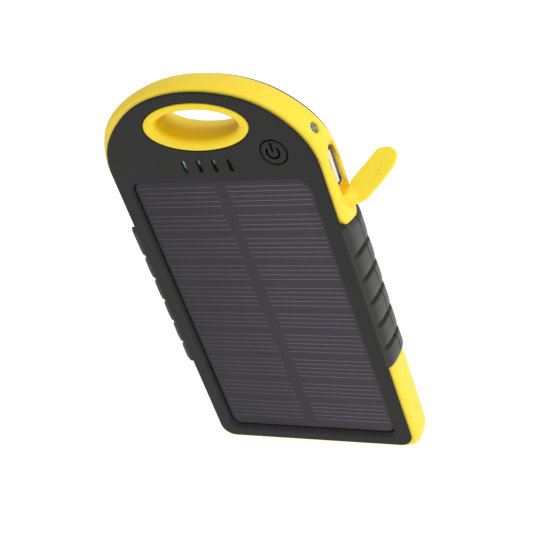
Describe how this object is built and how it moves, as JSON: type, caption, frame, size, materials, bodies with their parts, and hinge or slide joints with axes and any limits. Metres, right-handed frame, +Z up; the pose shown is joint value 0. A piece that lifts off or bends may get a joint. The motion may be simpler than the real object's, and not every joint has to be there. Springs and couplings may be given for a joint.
{
  "type": "solar phone charger",
  "caption": "Flat pocket solar power bank with a yellow bumper, carry loop, ribbed grips, charge lights, button, torch and an open USB socket cover.",
  "frame": {"origin": "middle of the lower bumper's flat foot, in the middle of the charger's width and thickness", "axes": "+Z up along the charger's length towards the carry loop; -Y out of the solar panel's face; +X out of the side that has the USB socket"},
  "size_m": [0.089, 0.019, 0.1416],
  "materials": {
    "black_shell": "soft-touch matte",
    "yellow_tpu": "satin",
    "laminate": "smooth with a soft sheen",
    "cells": "dark cells under fine pale conductor lines",
    "fibreglass": "matte laminate",
    "clear_plastic": "clear",
    "diode": "clear resin",
    "black_plastic": "matte",
    "capacitor": "matte",
    "steel": "plated",
    "white_plastic": "satin",
    "contact_metal": "plated",
    "pouch": "foil pouch",
    "foam": "foam",
    "red_wire": "insulation",
    "black_wire": "insulation"
  },
  "bodies": {
    "case": {"front_shell": "black_shell", "back_shell": "black_shell", "upper_bumper": "yellow_tpu", "lower_bumper": "yellow_tpu", "loop_ring": "yellow_tpu", "panel_laminate": "laminate", "solar_cells": "cells", "panel_backing": "fibreglass", "circuit_board": "fibreglass", "light_pipe_1": "clear_plastic", "light_pipe_2": "clear_plastic", "light_pipe_3": "clear_plastic", "light_pipe_4": "clear_plastic", "torch_lens": "clear_plastic", "charge_led_1": "diode", "charge_led_2": "diode", "charge_led_3": "diode", "charge_led_4": "diode", "torch_led": "diode", "micro_usb_tongue": "black_plastic", "charge_controller": "black_plastic", "boost_converter": "black_plastic", "power_inductor": "black_plastic", "output_capacitor": "capacitor", "usb_socket_shell": "steel", "micro_usb_shell": "steel", "switch_body": "steel", "case_screw_lower_left": "steel", "case_screw_lower_right": "steel", "case_screw_upper_left": "steel", "case_screw_upper_right": "steel", "usb_socket_tongue": "white_plastic", "usb_contact_1": "contact_metal", "usb_contact_2": "contact_metal", "usb_contact_3": "contact_metal", "usb_contact_4": "contact_metal", "battery_cell": "pouch", "battery_pad": "foam", "battery_lead_plus": "red_wire", "panel_lead_plus": "red_wire", "battery_lead_minus": "black_wire", "panel_lead_minus": "black_wire"},
    "usb_cover": {"usb_cover": "yellow_tpu"},
    "micro_usb_cover": {"micro_usb_cover": "yellow_tpu"},
    "power_button": {"power_button": "black_shell", "switch_plunger": "black_plastic"}
  },
  "joints": [
    {"name": "usb_cover_hinge", "type": "hinge", "parent": "case", "child": "usb_cover", "pos_m": [0.03685, 0.0042, 0.0996], "axis": [0, 0.6626, 0.749], "range_deg": [-94, 30]},
    {"name": "micro_usb_cover_hinge", "type": "hinge", "parent": "case", "child": "micro_usb_cover", "pos_m": [-0.03685, 0.0006, 0.1007], "axis": [0, -1, 0], "range_deg": [0, 100]},
    {"name": "power_button_press", "type": "slide", "parent": "case", "child": "power_button", "axis": [0, 1, 0], "range_m": [0, 0.00025], "stiffness_N_per_m": 2000}
  ]
}
